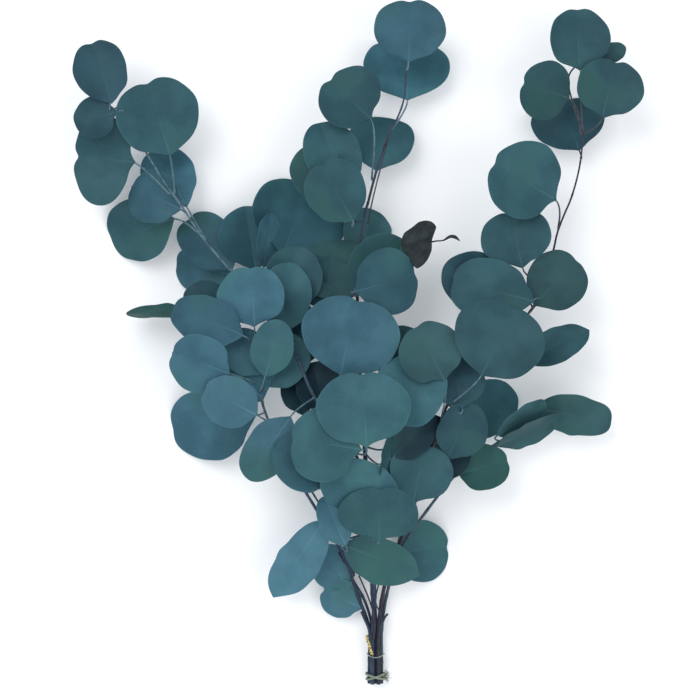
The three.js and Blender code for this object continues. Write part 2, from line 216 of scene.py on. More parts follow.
def chained(middles):
    """The middles in order from the cut end, and those that a fork leaves over."""
    left = sorted(middles, key=lambda m: m[0][1])
    chain = [left.pop(0)]
    while left:
        here = chain[-1][0]
        ahead = here - chain[-2][0] if len(chain) > 1 else np.array((0, 1, 0))
        ahead = ahead / np.linalg.norm(ahead)

        def cost(m):
            step = m[0] - here
            far = np.linalg.norm(step)
            return far * (TURN_COST - step.dot(ahead) / far) + RADIUS_COST * abs(m[1] - chain[-1][1])

        best = min(left, key=cost)
        if np.linalg.norm(best[0] - here) > NEXT_RING:
            break
        chain.append(best)
        left = [m for m in left if m is not best]
    return chain, left


class Nodes:
    """A small helper to build one material's node tree."""

    def __init__(self, name):
        self.material = bpy.data.materials.new(name)
        self.material.use_nodes = True
        self.tree = self.material.node_tree
        self.shader = self.tree.nodes["Principled BSDF"]

    def add(self, kind, **settings):
        node = self.tree.nodes.new(kind)
        for key, value in settings.items():
            setattr(node, key, value)
        return node

    def link(self, out, into):
        self.tree.links.new(out, into)

    def maths(self, operation, a, b=None, c=None):
        node = self.add("ShaderNodeMath", operation=operation)
        for i, value in enumerate((a, b, c)):
            if value is None:
                continue
            if isinstance(value, (int, float)):
                node.inputs[i].default_value = value
            else:
                self.link(value, node.inputs[i])
        return node.outputs[0]

    def ramp(self, value, low, high, to_low=0.0, to_high=1.0):
        node = self.add("ShaderNodeMapRange", interpolation_type="SMOOTHSTEP")
        self.link(value, node.inputs[0])
        for i, number in enumerate((low, high, to_low, to_high)):
            node.inputs[i + 1].default_value = number
        return node.outputs[0]

    def noise(self, scale, detail=3, rough=0.5):
        place = self.add("ShaderNodeTexCoord").outputs["Object"]
        node = self.add("ShaderNodeTexNoise")
        node.inputs["Scale"].default_value = scale
        node.inputs["Detail"].default_value = detail
        node.inputs["Roughness"].default_value = rough
        self.link(place, node.inputs["Vector"])
        return node.outputs[0]

    def mix(self, share, a, b):
        node = self.add("ShaderNodeMix", data_type="RGBA", blend_type="MIX")
        for socket, value in ((node.inputs[0], share), (node.inputs[6], a), (node.inputs[7], b)):
            if isinstance(value, (int, float)):
                socket.default_value = value
            elif isinstance(value, tuple):
                socket.default_value = (*value[:3], 1)
            else:
                self.link(value, socket)
        return node.outputs[2]

    def value(self, name, part="Fac"):
        return self.add("ShaderNodeAttribute", attribute_name=name).outputs[part]

    def bump(self, height, strength, distance):
        node = self.add("ShaderNodeBump")
        node.inputs["Strength"].default_value = strength
        node.inputs["Distance"].default_value = distance
        self.link(height, node.inputs["Height"])
        self.link(node.outputs[0], self.shader.inputs["Normal"])

    def finish(self, colour, roughness, specular=0.3):
        if isinstance(colour, tuple):
            self.shader.inputs["Base Color"].default_value = (*colour[:3], 1)
        else:
            self.link(colour, self.shader.inputs["Base Color"])
        if isinstance(roughness, (int, float)):
            self.shader.inputs["Roughness"].default_value = roughness
        else:
            self.link(roughness, self.shader.inputs["Roughness"])
        self.shader.inputs["Specular IOR Level"].default_value = specular
        return self.material


def bark_material(name, dark, light):
    nodes = Nodes(name)
    blotch = nodes.ramp(nodes.noise(90, 4), 0.38, 0.66)
    colour = nodes.mix(blotch, dark, light)
    specks = nodes.ramp(nodes.noise(700, 2), 0.60, 0.72, 0, 0.55)
    colour = nodes.mix(specks, colour, tuple(min(1, 2.1 * v) for v in light))
    scars = nodes.ramp(nodes.value("scar"), 0.15, 0.9, 0, 0.55)
    colour = nodes.mix(scars, colour, tuple(0.55 * v for v in dark))
    grain = nodes.noise(900, 3)
    nodes.bump(grain, 0.35, 0.0004)
    streaks = nodes.ramp(nodes.noise(300, 3), 0.35, 0.60, 0.25, 1)
    colour = nodes.mix(nodes.maths("MULTIPLY", streaks, nodes.value("bloom")), colour, BLOOM_TINT)
    return nodes.finish(colour, nodes.ramp(grain, 0.3, 0.7, 0.52, 0.74), 0.35)


def cut_material():
    nodes = Nodes("cut_wood")
    rings = nodes.ramp(nodes.noise(1400, 2), 0.4, 0.62)
    colour = nodes.mix(rings, CUT_LIGHT, CUT_DARK)
    nodes.bump(rings, 0.3, 0.0002)
    return nodes.finish(colour, 0.85, 0.2)


bark_of = {slot: bark_material(slot, *pair) for slot, pair in BARKS.items()}
cut_wood = cut_material()
stem_lines = {}


def add_bar(corners, faces, scars, blooms, whose, path, radii, luck, bloom=0):
    """Adds one bar with leaf rings and wrinkles to a stem's corners and faces."""
    run = run_along(path)
    shift = luck.uniform(0.2, 0.8) * NODE_EVERY
    start = len(corners)
    waves = [(luck.randint(2, 5), luck.uniform(0, 6.3), luck.uniform(40, 90)) for _ in range(4)]
    full = []
    scar = []
    for i, length in enumerate(run):
        off = (length - shift + NODE_EVERY / 2) % NODE_EVERY - NODE_EVERY / 2
        swell = math.exp(-((off / NODE_LONG) ** 2))
        ring = []
        for k in range(STEM_SIDES):
            turn = 2 * math.pi * k / STEM_SIDES
            wrinkle = sum(math.sin(n * turn + p + s * length) for n, p, s in waves)
            ring.append(radii[i] * (1 + NODE_SWELL * swell + WRINKLE * wrinkle))
            scar.append(math.exp(-(((off - SCAR_AFTER) / SCAR_LONG) ** 2)))
        full.append(ring)
    new_corners, new_faces, caps = tube(path, full, STEM_SIDES, start)
    corners += new_corners
    faces += [*new_faces, *caps]
    scars += scar
    for radius in radii:
        thin = min(1, max(0, (BLOOM_THICK - radius) / (BLOOM_THICK - BLOOM_FULL)))
        blooms += [bloom * thin] * STEM_SIDES
    whose += [0] * len(new_faces) + [1, 0]


for name in sorted(n for n in frame["nodes"] if n.startswith("stem_")):
    luck = random.Random(name)
    chain, over = chained(ring_middles(name))
    start_radius = np.mean([r for _, r in chain[:3]])
    end_radius = np.mean([r for _, r in chain[-3:]])
    even = np.linspace(start_radius, end_radius, len(chain))
    path = smooth_path([m for (m, r), usual in zip(chain, even) if r < SWOLLEN * usual], STEM_STEP)
    corners, faces, scars, blooms, whose = [], [], [], [], []
    bloom = BLOOM.get(name, 0)
    radii = np.linspace(start_radius, end_radius, len(path))
    add_bar(corners, faces, scars, blooms, whose, path, radii, luck, bloom)
    stem_lines[name] = [path]
    if over:
        root = min(over, key=lambda m: np.linalg.norm(path - m[0], axis=1).min())
        order = sorted(over, key=lambda m: np.linalg.norm(m[0] - root[0]))
        foot = path[np.linalg.norm(path - root[0], axis=1).argmin()]
        side = smooth_path([foot, *[m for m, _ in order]], STEM_STEP)
        thin = np.linspace(end_radius * 1.1, end_radius * 0.9, len(side))
        add_bar(corners, faces, scars, blooms, whose, side, thin, luck, bloom)
        stem_lines[name].append(side)
    stem = new_piece(name.replace("stem", "shoot"), corners, faces,
                     [bark_of[slot_of[name]], cut_wood], whose)
    add_values(stem, "scar", scars)
    add_values(stem, "bloom", blooms)
    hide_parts(name)


# ----------------------------------------------------------------- the twigs
# A few thin side shoots and stripped stubs stay among the lower stems. They
# cross over one another between the ties and the first leaves.

# name: points along it in mm, its radius at each end in mm, its bark.
TWIGS = {
    "left_stub": (
        ((4, -217, 13), (8, -226, 13.5), (11.5, -235, 13)),
        (1.15, 1.0), "bark"),
    "crossing": (
        ((20, -188, 19), (15.5, -207, 20), (20.5, -222, 17), (18, -238, 15)),
        (0.55, 0.7), "bark"),
    "slanting": (
        ((2, -187, 18), (10.5, -207, 18.5), (15, -224, 17.5), (14, -240, 15)),
        (0.6, 0.8), "bark_red"),
    "outer_left": (
        ((-39, -111, 51), (-27, -132, 40), (-15.5, -156, 31), (-2, -187, 23)),
        (0.7, 0.9), "bark"),
    "right_knot": (
        ((25.6, -219, 13), (23.2, -222, 13.5), (21, -228, 13)),
        (1.0, 0.8), "bark"),
    "centre_twin": (
        ((27, 172, 49.5), (20, 146, 51.5), (12.5, 116, 52), (9, 98, 51)),
        (0.5, 0.6), "bark_red"),
}

for name, (points, ends, bark) in TWIGS.items():
    luck = random.Random(name)
    path = smooth_path(np.array(points, float) * MM, STEM_STEP)
    corners, faces, scars, blooms, whose = [], [], [], [], []
    add_bar(corners, faces, scars, blooms, whose, path, np.linspace(*ends, len(path)) * MM, luck)
    twig = new_piece("twig_" + name, corners, faces, [bark_of[bark], cut_wood], whose)
    add_values(twig, "scar", scars)
    add_values(twig, "bloom", blooms)


# --------------------------------------------------------------- the leaves
# Round, thin, leathery leaves, preserved and dyed. Each grew on its own slim
# stalk, which runs on under the blade as its midrib; the side veins fan out
# to the edge, and many tips are notched where the midrib ends.

# A CAD blade has its corners in pairs, one on each of its two sides.
PAIR = 0.8 * MM
RIM_SLACK = 0.02 * MM
PAIR_SLACK = 0.12 * MM

# The spots of a blade, from the stalk to the tip and from the midrib to the edge.
BLADE_THICK = 0.42 * MM
ALONG = 44
ACROSS = (0, 0.025, 0.07, 0.15, 0.27, 0.41, 0.55, 0.69, 0.81, 0.9, 0.955, 0.985, 1)
STATIONS = [-v for v in reversed(ACROSS[1:])] + list(ACROSS)

# The stalk, which starts under the midrib and ends just inside its stem's bark.
# RIB_STEPS are the midrib's spots that it starts at. STALK_GROWTH is how thick
# it is at each share of the way down.
STALK_SIDES = 8
STALK_THIN = 0.42 * MM
STALK_THICK = 0.72 * MM
STALK_LOW = 0.1 * MM
STALK_INTO = 0.4 * MM
STALK_STEP = 1.6 * MM
LONG_GAP = 3 * MM
RIB_STEPS = (7, 3)
STALK_GROWTH = ((0, 0.22, 0.55, 0.9, 1), (0.5, 0.95, 1, 1.15, 1.6))

# A blade's edge: the waves round it, each with its share of the reach, how far
# it ripples up and down, and how wide its notch or point at the tip and its
# shoulders and wedge at the stalk are, as angles round its middle.
UNEVEN = ((3, 0.016), (5, 0.010), (9, 0.006))
RIPPLE = 0.5 * MM
NOTCH_DEEP = 1.15
NOTCH_WIDE = 0.2
POINT_WIDE = 0.16
SHOULDER_AT = 0.42
SHOULDER_WIDE = 0.25
WEDGE_WIDE = 0.11
EDGE_STEPS = 181
THIN_EDGE = 0.02

# The midrib, a groove above and a rib below, which fades towards the tip.
MIDRIB_CURVE = 1.22
GROOVE_WIDE = 0.9 * MM
GROOVE_ABOVE = 0.16 * MM
GROOVE_BELOW = 0.40 * MM

# Each finish: its darker and its lighter colour, and the colour of its veins.
LEAF_TINTS = {
    "leaf_blue": ((0.024, 0.074, 0.102), (0.040, 0.114, 0.154), (0.060, 0.152, 0.196)),
    "leaf_teal": ((0.020, 0.067, 0.084), (0.034, 0.102, 0.123), (0.054, 0.137, 0.164)),
    "leaf_green": ((0.019, 0.071, 0.070), (0.030, 0.103, 0.098), (0.048, 0.133, 0.132)),
    "leaf_deep": ((0.013, 0.047, 0.064), (0.023, 0.074, 0.096), (0.036, 0.103, 0.128)),
    "leaf_pale": ((0.041, 0.114, 0.152), (0.062, 0.160, 0.210), (0.090, 0.205, 0.256)),
    # the next finish is a near-black copy of the others: painted shade for leaves lying deep under the
    # bunch
    "leaf_old": ((0.006, 0.022, 0.034), (0.010, 0.036, 0.052), (0.020, 0.060, 0.080)),
    "leaf_grey": ((0.020, 0.062, 0.072), (0.033, 0.093, 0.104), (0.051, 0.125, 0.140)),
}

# Cloudy greener patches, and side veins every few mm along the midrib.
GREEN_PATCH = (0.026, 0.090, 0.084)
VEIN_EVERY = 4.6
VEIN_SLANT = 0.62


def leaf_material(name, dark, light, vein):
    nodes = Nodes(name)
    split = nodes.add("ShaderNodeSeparateXYZ")
    nodes.link(nodes.value("blade", "Vector"), split.inputs[0])
    along, across, edge = split.outputs
    width = nodes.maths("ABSOLUTE", across)
    # cloudy dye
    cloud = nodes.ramp(nodes.noise(34, 3), 0.32, 0.70)
    colour = nodes.mix(cloud, dark, light)
    fine = nodes.ramp(nodes.noise(420, 4, rough=0.62), 0.30, 0.75, 0, 0.22)
    colour = nodes.mix(fine, colour, light)
    patch = nodes.ramp(nodes.noise(17, 2), 0.50, 0.72, 0, 0.75)
    colour = nodes.mix(patch, colour, GREEN_PATCH)
    # side veins: slanted lines from the midrib to the edge
    waver = nodes.maths("MULTIPLY", nodes.noise(160, 2), 2.4)
    slant = nodes.maths("MULTIPLY_ADD", width, -VEIN_SLANT, along)
    line = nodes.maths("FRACT", nodes.maths("DIVIDE", nodes.maths("ADD", slant, waver), VEIN_EVERY))
    line = nodes.maths("ABSOLUTE", nodes.maths("SUBTRACT", line, 0.5))
    line = nodes.ramp(line, 0.06, 0.0)
    side = nodes.maths("MULTIPLY", line, nodes.ramp(edge, 0.97, 0.80, 0, 0.11))
    mid = nodes.ramp(width, 0.85, 0.15)
    fade = nodes.ramp(nodes.value("tip"), 0.72, 0.08, 0.05, 0.62)
    mid = nodes.maths("MULTIPLY", mid, fade)
    veins = nodes.maths("MAXIMUM", side, mid)
    colour = nodes.mix(veins, colour, vein)
    rim = nodes.ramp(edge, 0.965, 0.995, 0, 0.22)
    colour = nodes.mix(rim, colour, vein)
    under = nodes.maths("MULTIPLY", nodes.value("under"), 0.45)
    colour = nodes.mix(under, colour, tuple(1.15 * v for v in vein))
    # lightness per leaf: partly its dye, partly painted light and painted shade
    tone_and_painted_light = nodes.add("ShaderNodeHueSaturation")
    nodes.link(colour, tone_and_painted_light.inputs["Color"])
    nodes.link(nodes.value("tone_and_painted_light"), tone_and_painted_light.inputs["Value"])
    # a relief bump from the veins and fine noise, and a bump that rises away from the midrib so the two
    # halves shade as if folded up a little, more on some leaves
    relief = nodes.maths("MULTIPLY_ADD", veins, 0.045, nodes.maths("MULTIPLY", nodes.noise(520, 3), 0.055))
    relief = nodes.maths("ADD", relief, nodes.maths("MULTIPLY", width, nodes.value("fold")))
    nodes.bump(relief, 1.0, 0.001)
    rough = nodes.ramp(nodes.noise(60, 2), 0.3, 0.7, 0.50, 0.64)
    return nodes.finish(tone_and_painted_light.outputs[0], rough, 0.16)


def stalk_material(name, dark, light):
    nodes = Nodes(name)
    colour = nodes.mix(nodes.ramp(nodes.noise(260, 3), 0.35, 0.65), dark, light)
    nodes.bump(nodes.noise(1200, 2), 0.25, 0.0002)
    return nodes.finish(colour, 0.6, 0.3)


leaf_look = {slot: leaf_material(slot, *tint) for slot, tint in LEAF_TINTS.items()}
stalk_look = stalk_material("leaf_stalk", (0.052, 0.105, 0.140), (0.10, 0.175, 0.215))
woody_look = stalk_material("woody_stalk", (0.030, 0.036, 0.048), (0.052, 0.064, 0.080))


class Blade:
    """What a leaf's blade is like: where it is, its outline and how it bends.

    home is where the blade meets its stalk; ahead, left and up are its own
    directions; the outline is a list of waves round its middle, with a notch
    or a point at the tip; bend is the height over along and across, as a
    quadratic; path is the line of the stalk.
    """

    def __init__(self, home, ahead, left, up, long, waves, notch, bend, path):
        self.home, self.ahead, self.left, self.up = home, ahead, left, up
        self.long, self.waves, self.notch, self.bend, self.path = long, waves, notch, bend, path
        self.point = 0.0


def wave_row(turn):
    turn = np.asarray(turn, float)
    columns = [np.ones_like(turn)]
    for n in range(1, 5):
        columns += [np.cos(n * turn), np.sin(n * turn)]
    return np.stack(columns, axis=-1)


def bend_row(a, b):
    return np.stack([np.ones_like(a), a, b, a * a, a * b, b * b], axis=-1)


def rim_pairs(corners, edges):
    """The middles of the pairs of corners round a blade's rim, and which corners they use."""
    rim, used = [], set()
    for a, b in edges:
        if abs(np.linalg.norm(corners[a] - corners[b]) - PAIR) < RIM_SLACK:
            rim.append((corners[a] + corners[b]) / 2)
            used |= {a, b}
    return np.array(rim), used


def inner_pairs(corners, used):
    """The middles of the pairs inside the rim, and the corners that are the stalk's."""
    inner, stalk = [], []
    for i, corner in enumerate(corners):
        if i in used:
            continue
        far = np.linalg.norm(corners - corner, axis=1)
        far[i] = 1
        j = int(far.argmin())
        if abs(far[j] - PAIR) < PAIR_SLACK:
            inner.append((corner + corners[j]) / 2)
        else:
            stalk.append(corner)
    return inner, stalk


def blade_directions(rim, home):
    """A blade's ahead, left and up, its length, and which spot of its rim is the tip."""
    middle = rim.mean(axis=0)
    up = np.linalg.svd(rim - middle)[2][2]
    up = up if up[2] > 0 else -up
    rough_ahead = middle - home
    rough_ahead -= up * rough_ahead.dot(up)
    rough_ahead /= np.linalg.norm(rough_ahead)
    rough_left = np.cross(up, rough_ahead)
    turns = np.arctan2((rim - middle) @ rough_left, (rim - middle) @ rough_ahead)
    base_turn = math.atan2((home - middle) @ rough_left, (home - middle) @ rough_ahead)
    tip_at = int(np.abs((turns - base_turn + math.pi) % (2 * math.pi) - math.pi).argmax())
    ahead = rim[tip_at] - home
    ahead -= up * ahead.dot(up)
    long = float(np.linalg.norm(ahead))
    ahead /= long
    return ahead, np.cross(up, ahead), up, long, tip_at


def stalk_line(home, corners):
    """The middles of a stalk's rings of four corners, from the blade to the stem."""
    path, left_over = [home], list(corners)
    while len(left_over) >= 4:
        left_over.sort(key=lambda p: np.linalg.norm(p - path[-1]))
        path.append(np.mean(left_over[:4], axis=0))
        left_over = left_over[4:]
    return path


def read_leaf(name):
    """Reads a CAD leaf back: its outline, its blade's bend and the line of its stalk."""
    corners, edges = node_shape(name)
    rim, used = rim_pairs(corners, edges)
    inner, stalk = inner_pairs(corners, used)
    gaps = np.linalg.norm(rim[:, None] - rim[None], axis=2) + np.eye(len(rim))
    first, second = np.unravel_index(gaps.argmin(), gaps.shape)
    home = (rim[first] + rim[second]) / 2
    ahead, left, up, long, tip_at = blade_directions(rim, home)
    a, b = (rim - home) @ ahead, (rim - home) @ left
    turn, reach = np.arctan2(b, a - long / 2), np.hypot(a - long / 2, b)
    keep = np.arange(len(rim)) != tip_at
    waves = np.linalg.lstsq(wave_row(turn[keep]), reach[keep], rcond=None)[0]
    notch = max(0.0, float(wave_row(turn[tip_at]) @ waves - reach[tip_at]))
    points = np.array(inner + list(rim)) - home
    bend = np.linalg.lstsq(bend_row(points @ ahead, points @ left), points @ up, rcond=None)[0]
    return Blade(home, ahead, left, up, long, waves, notch, bend, stalk_line(home, stalk))


def nearest_stem(point):
    best = None
    for lines in stem_lines.values():
        for line in lines:
            far = np.linalg.norm(line - point, axis=1)
            if best is None or far.min() < best[0]:
                best = (far.min(), line[far.argmin()])
    return best


def blade_edge(blade, turn, phases, wedge, shoulder):
    """Spots on the blade's edge, at each angle round its middle from the tip."""
    uneven = 1 + sum(size * np.sin(n * turn + phases[i]) for i, (n, size) in enumerate(UNEVEN))
    from_tip = np.abs((turn + math.pi) % (2 * math.pi) - math.pi)
    from_stalk = math.pi - from_tip
    reach = wave_row(turn) @ blade.waves * uneven
    reach -= NOTCH_DEEP * blade.notch * np.exp(-((from_tip / NOTCH_WIDE) ** 2))
    reach += blade.point * np.exp(-from_tip / POINT_WIDE)
    reach -= shoulder * np.exp(-(((from_stalk - SHOULDER_AT) / SHOULDER_WIDE) ** 2))
    reach += wedge * np.exp(-from_stalk / WEDGE_WIDE)
    return np.column_stack([blade.long / 2 + reach * np.cos(turn), reach * np.sin(turn)])


def blade_grid(blade, luck, phases):
    """The blade laid flat, as spots from stalk to tip and from edge to edge.

    Each spot's marks are how far along it is, how far across from the midrib,
    and its share of the way to the edge.
    """
    wedge = luck.uniform(0.03, 0.07) * blade.long
    shoulder = luck.uniform(0.01, 0.035) * blade.long
    turns = np.linspace(math.pi, 0, EDGE_STEPS)
    sides = {}
    for sign in (1, -1):
        line = blade_edge(blade, sign * turns, phases, wedge, shoulder)
        run = run_along(line)
        sides[sign] = (line, run / run[-1])
    base = (sides[1][0][0] + sides[-1][0][0]) / 2
    tip = (sides[1][0][-1] + sides[-1][0][-1]) / 2
    sway = luck.uniform(-0.02, 0.02) * blade.long
    steps = 0.5 - 0.5 * np.cos(np.linspace(0, math.pi, ALONG + 1))
    steps = 0.6 * steps + 0.4 * np.linspace(0, 1, ALONG + 1)
    flat, marks = [], []
    for u in steps:
        on_rib = u ** MIDRIB_CURVE
        mid = base + (tip - base) * on_rib + np.array([0, sway * math.sin(math.pi * on_rib)])
        row, mark = [], []
        for v in STATIONS:
            line, run = sides[1 if v >= 0 else -1]
            edge = np.array([np.interp(u, run, line[:, 0]), np.interp(u, run, line[:, 1])])
            spot = mid * (1 - abs(v)) + edge * abs(v)
            row.append(spot)
            mark.append((spot[0], np.sign(v) * np.linalg.norm(spot - mid), abs(v)))
        flat.append(row)
        marks.append(mark)
    return np.array(flat), np.array(marks), steps


def blade_heights(blade, flat, marks, steps, phases):
    """The height of the blade's middle, its upper skin and its lower skin at each spot."""
    height = bend_row(flat[..., 0], flat[..., 1]) @ blade.bend
    to_edge = marks[..., 2]
    around = np.arctan2(flat[..., 1], flat[..., 0] - blade.long / 2)
    wavy = np.sin(4 * around + phases[3]) + 0.6 * np.sin(7 * around + phases[4])
    height = height + RIPPLE * to_edge**3 * wavy
    across = np.abs(marks[..., 1])
    groove = np.exp(-((across / GROOVE_WIDE) ** 2)) * (1 - 0.85 * steps[:, None])
    half = BLADE_THICK / 2 * np.clip((1 - to_edge) / THIN_EDGE, 0, 1) ** 0.5
    return height, height + half - GROOVE_ABOVE * groove, height - half - GROOVE_BELOW * groove


def stalk_route(blade, under):
    """The line of the stalk: under the midrib, along its own bend and on to the stem."""
    route = [*under, *(spot - blade.up * STALK_LOW for spot in blade.path)]
    gap, foot = nearest_stem(route[-1])
    end = route[-1] + (foot - route[-1]) * max(0.0, 1 - STALK_INTO / max(gap, 1e-6))
    if gap > LONG_GAP:
        onward = route[-1] - route[-2]
        onward *= 0.3 * gap / np.linalg.norm(onward)
        route.append(route[-1] + onward + 0.25 * (end - route[-1]))
    route.append(end)
    return smooth_path(np.array(route), STALK_STEP)


def leaf_mesh(blade, luck):
    """Corners, faces and shader values of one blade with its stalk."""
    phases = [luck.uniform(0, 2 * math.pi) for _ in range(6)]
    flat, marks, steps = blade_grid(blade, luck, phases)
    height, top, bottom = blade_heights(blade, flat, marks, steps, phases)
    corners, values, unders, tips = [], [], [], []

    def spot(u, v, rise):
        a, b = flat[u, v]
        return blade.home + a * blade.ahead + b * blade.left + rise * blade.up

    def put(u, v, rise, below):
        corners.append(spot(u, v, rise))
        values.append((marks[u, v, 0] / MM, marks[u, v, 1] / MM, marks[u, v, 2]))
        unders.append(below)
        tips.append(steps[u])
        return len(corners) - 1

    last = len(STATIONS) - 1
    rib = len(STATIONS) // 2
    ends = {u: put(u, rib, height[u, rib], 0.5) for u in (0, ALONG)}
    upper, lower = {}, {}
    for u in range(1, ALONG):
        for v in range(len(STATIONS)):
            if v in (0, last):
                upper[u, v] = lower[u, v] = put(u, v, height[u, v], 0.5)
            else:
                upper[u, v] = put(u, v, top[u, v], 0.0)
                lower[u, v] = put(u, v, bottom[u, v], 1.0)
    faces = []
    for v in range(last):
        for u in range(1, ALONG - 1):
            faces.append((upper[u, v], upper[u + 1, v], upper[u + 1, v + 1], upper[u, v + 1]))
            faces.append((lower[u, v], lower[u, v + 1], lower[u + 1, v + 1], lower[u + 1, v]))
        faces.append((ends[0], upper[1, v], upper[1, v + 1]))
        faces.append((ends[0], lower[1, v + 1], lower[1, v]))
        faces.append((ends[ALONG], upper[ALONG - 1, v + 1], upper[ALONG - 1, v]))
        faces.append((ends[ALONG], lower[ALONG - 1, v], lower[ALONG - 1, v + 1]))
    blade_faces = len(faces)
    route = stalk_route(blade, [spot(u, rib, bottom[u, rib]) for u in RIB_STEPS])
    share = np.linspace(0, 1, len(route))
    grow = np.interp(share, *STALK_GROWTH)
    radii = [(STALK_THIN + (STALK_THICK - STALK_THIN) * min(1, 3 * s)) * g for s, g in zip(share, grow)]
    more, tube_faces, caps = tube(route, radii, STALK_SIDES, len(corners))
    corners += more
    faces += [*tube_faces, *caps]
    values += [(0, 0, 0)] * len(more)
    unders += [1.0] * len(more)
    tips += [0] * len(more)
    whose = [0] * blade_faces + [1] * (len(faces) - blade_faces)
    return corners, faces, whose, values, unders, tips


# The leaves towards the end of the right shoot have the brown, woody stalks.
WOODY = "leaf_right_0"

# How far the tip of a leaf runs out to a point, in mm.
POINTED = {"front_14": 5, "front_12": 4, "right_12": 3, "mid_07": 2, "left_05": 2}

# How light or dark each leaf comes out, where 1 is its finish's own tone: partly how pale it came out of
# its dye bath, partly painted light that lifts leaves lying in shade under the others, and painted shade
# that darkens some lit leaves on top.
DYE_AND_PAINTED_LIGHT = {
    "left_01": 0.67, "left_02": 1.0, "left_03": 0.92, "left_05": 0.95, "left_06": 1.45, "left_07": 1.05,
    "left_08": 0.95, "left_09": 1.25, "left_10": 1.4, "left_11": 1.4, "left_12": 1.3, "top_02": 1.8,
    "top_03": 0.82, "top_04": 1.25, "top_05": 1.7, "top_06": 1.1, "top_07": 0.92, "mid_01": 1.05,
    "mid_03": 1.2, "mid_04": 1.3, "mid_05": 1.2, "mid_07": 1.18, "mid_08": 1.3, "mid_10": 1.2,
    "mid_11": 1.2, "mid_12": 1.35, "mid_13": 1.2, "mid_16": 1.0, "front_01": 1.15, "front_04": 1.25,
    "front_05": 1.5, "front_06": 1.15, "front_07": 0.98, "front_10": 1.4, "front_12": 1.25,
    "front_13": 1.4, "front_14": 1.18, "front_18": 1.25, "front_19": 1.18, "front_20": 1.15,
    "right_01": 0.88, "right_02": 0.75, "right_03": 0.85, "right_05": 1.1, "right_07": 0.85,
    "right_08": 1.0, "right_09": 0.85, "right_10": 0.97, "right_13": 0.8, "right_14": 1.65,
    "right_15": 0.95, "right_17": 1.35,
}


def leaf_piece(name, blade, look):
    luck = random.Random(name)
    own_name = name.split("leaf_")[-1]
    blade.point = POINTED.get(own_name, 0) * MM
    corners, faces, whose, values, unders, tips = leaf_mesh(blade, luck)
    stalk = woody_look if WOODY in name else stalk_look
    leaf = new_piece(name, corners, faces, [look, stalk], whose)
    add_values(leaf, "blade", values, "FLOAT_VECTOR")
    add_values(leaf, "under", unders)
    add_values(leaf, "tip", tips)
    # each leaf's lightness: partly its dye, partly painted light and painted shade
    add_values(leaf, "tone_and_painted_light", [DYE_AND_PAINTED_LIGHT.get(own_name, 1.0)] * len(corners))
    add_values(leaf, "fold", [luck.uniform(0.02, 0.16)] * len(corners))
    return leaf


blades = {}
for name in sorted(n for n in frame["nodes"] if n.startswith("leaf_") and n != "leaf_dried"):
    blades[name] = read_leaf(name)
    leaf = leaf_piece(name.replace("leaf", "round_leaf"), blades[name], leaf_look[slot_of[name]])
    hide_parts(name)


# -------------------------------------------------- the leaves half hidden
# Smaller and older leaves further down the same shoots, behind the big ones
# or turned edge-on. Each is placed beside the leaf that covers it. The darkest
# of them get a near-black finish, which is painted shade for where they lie deep in the bunch.

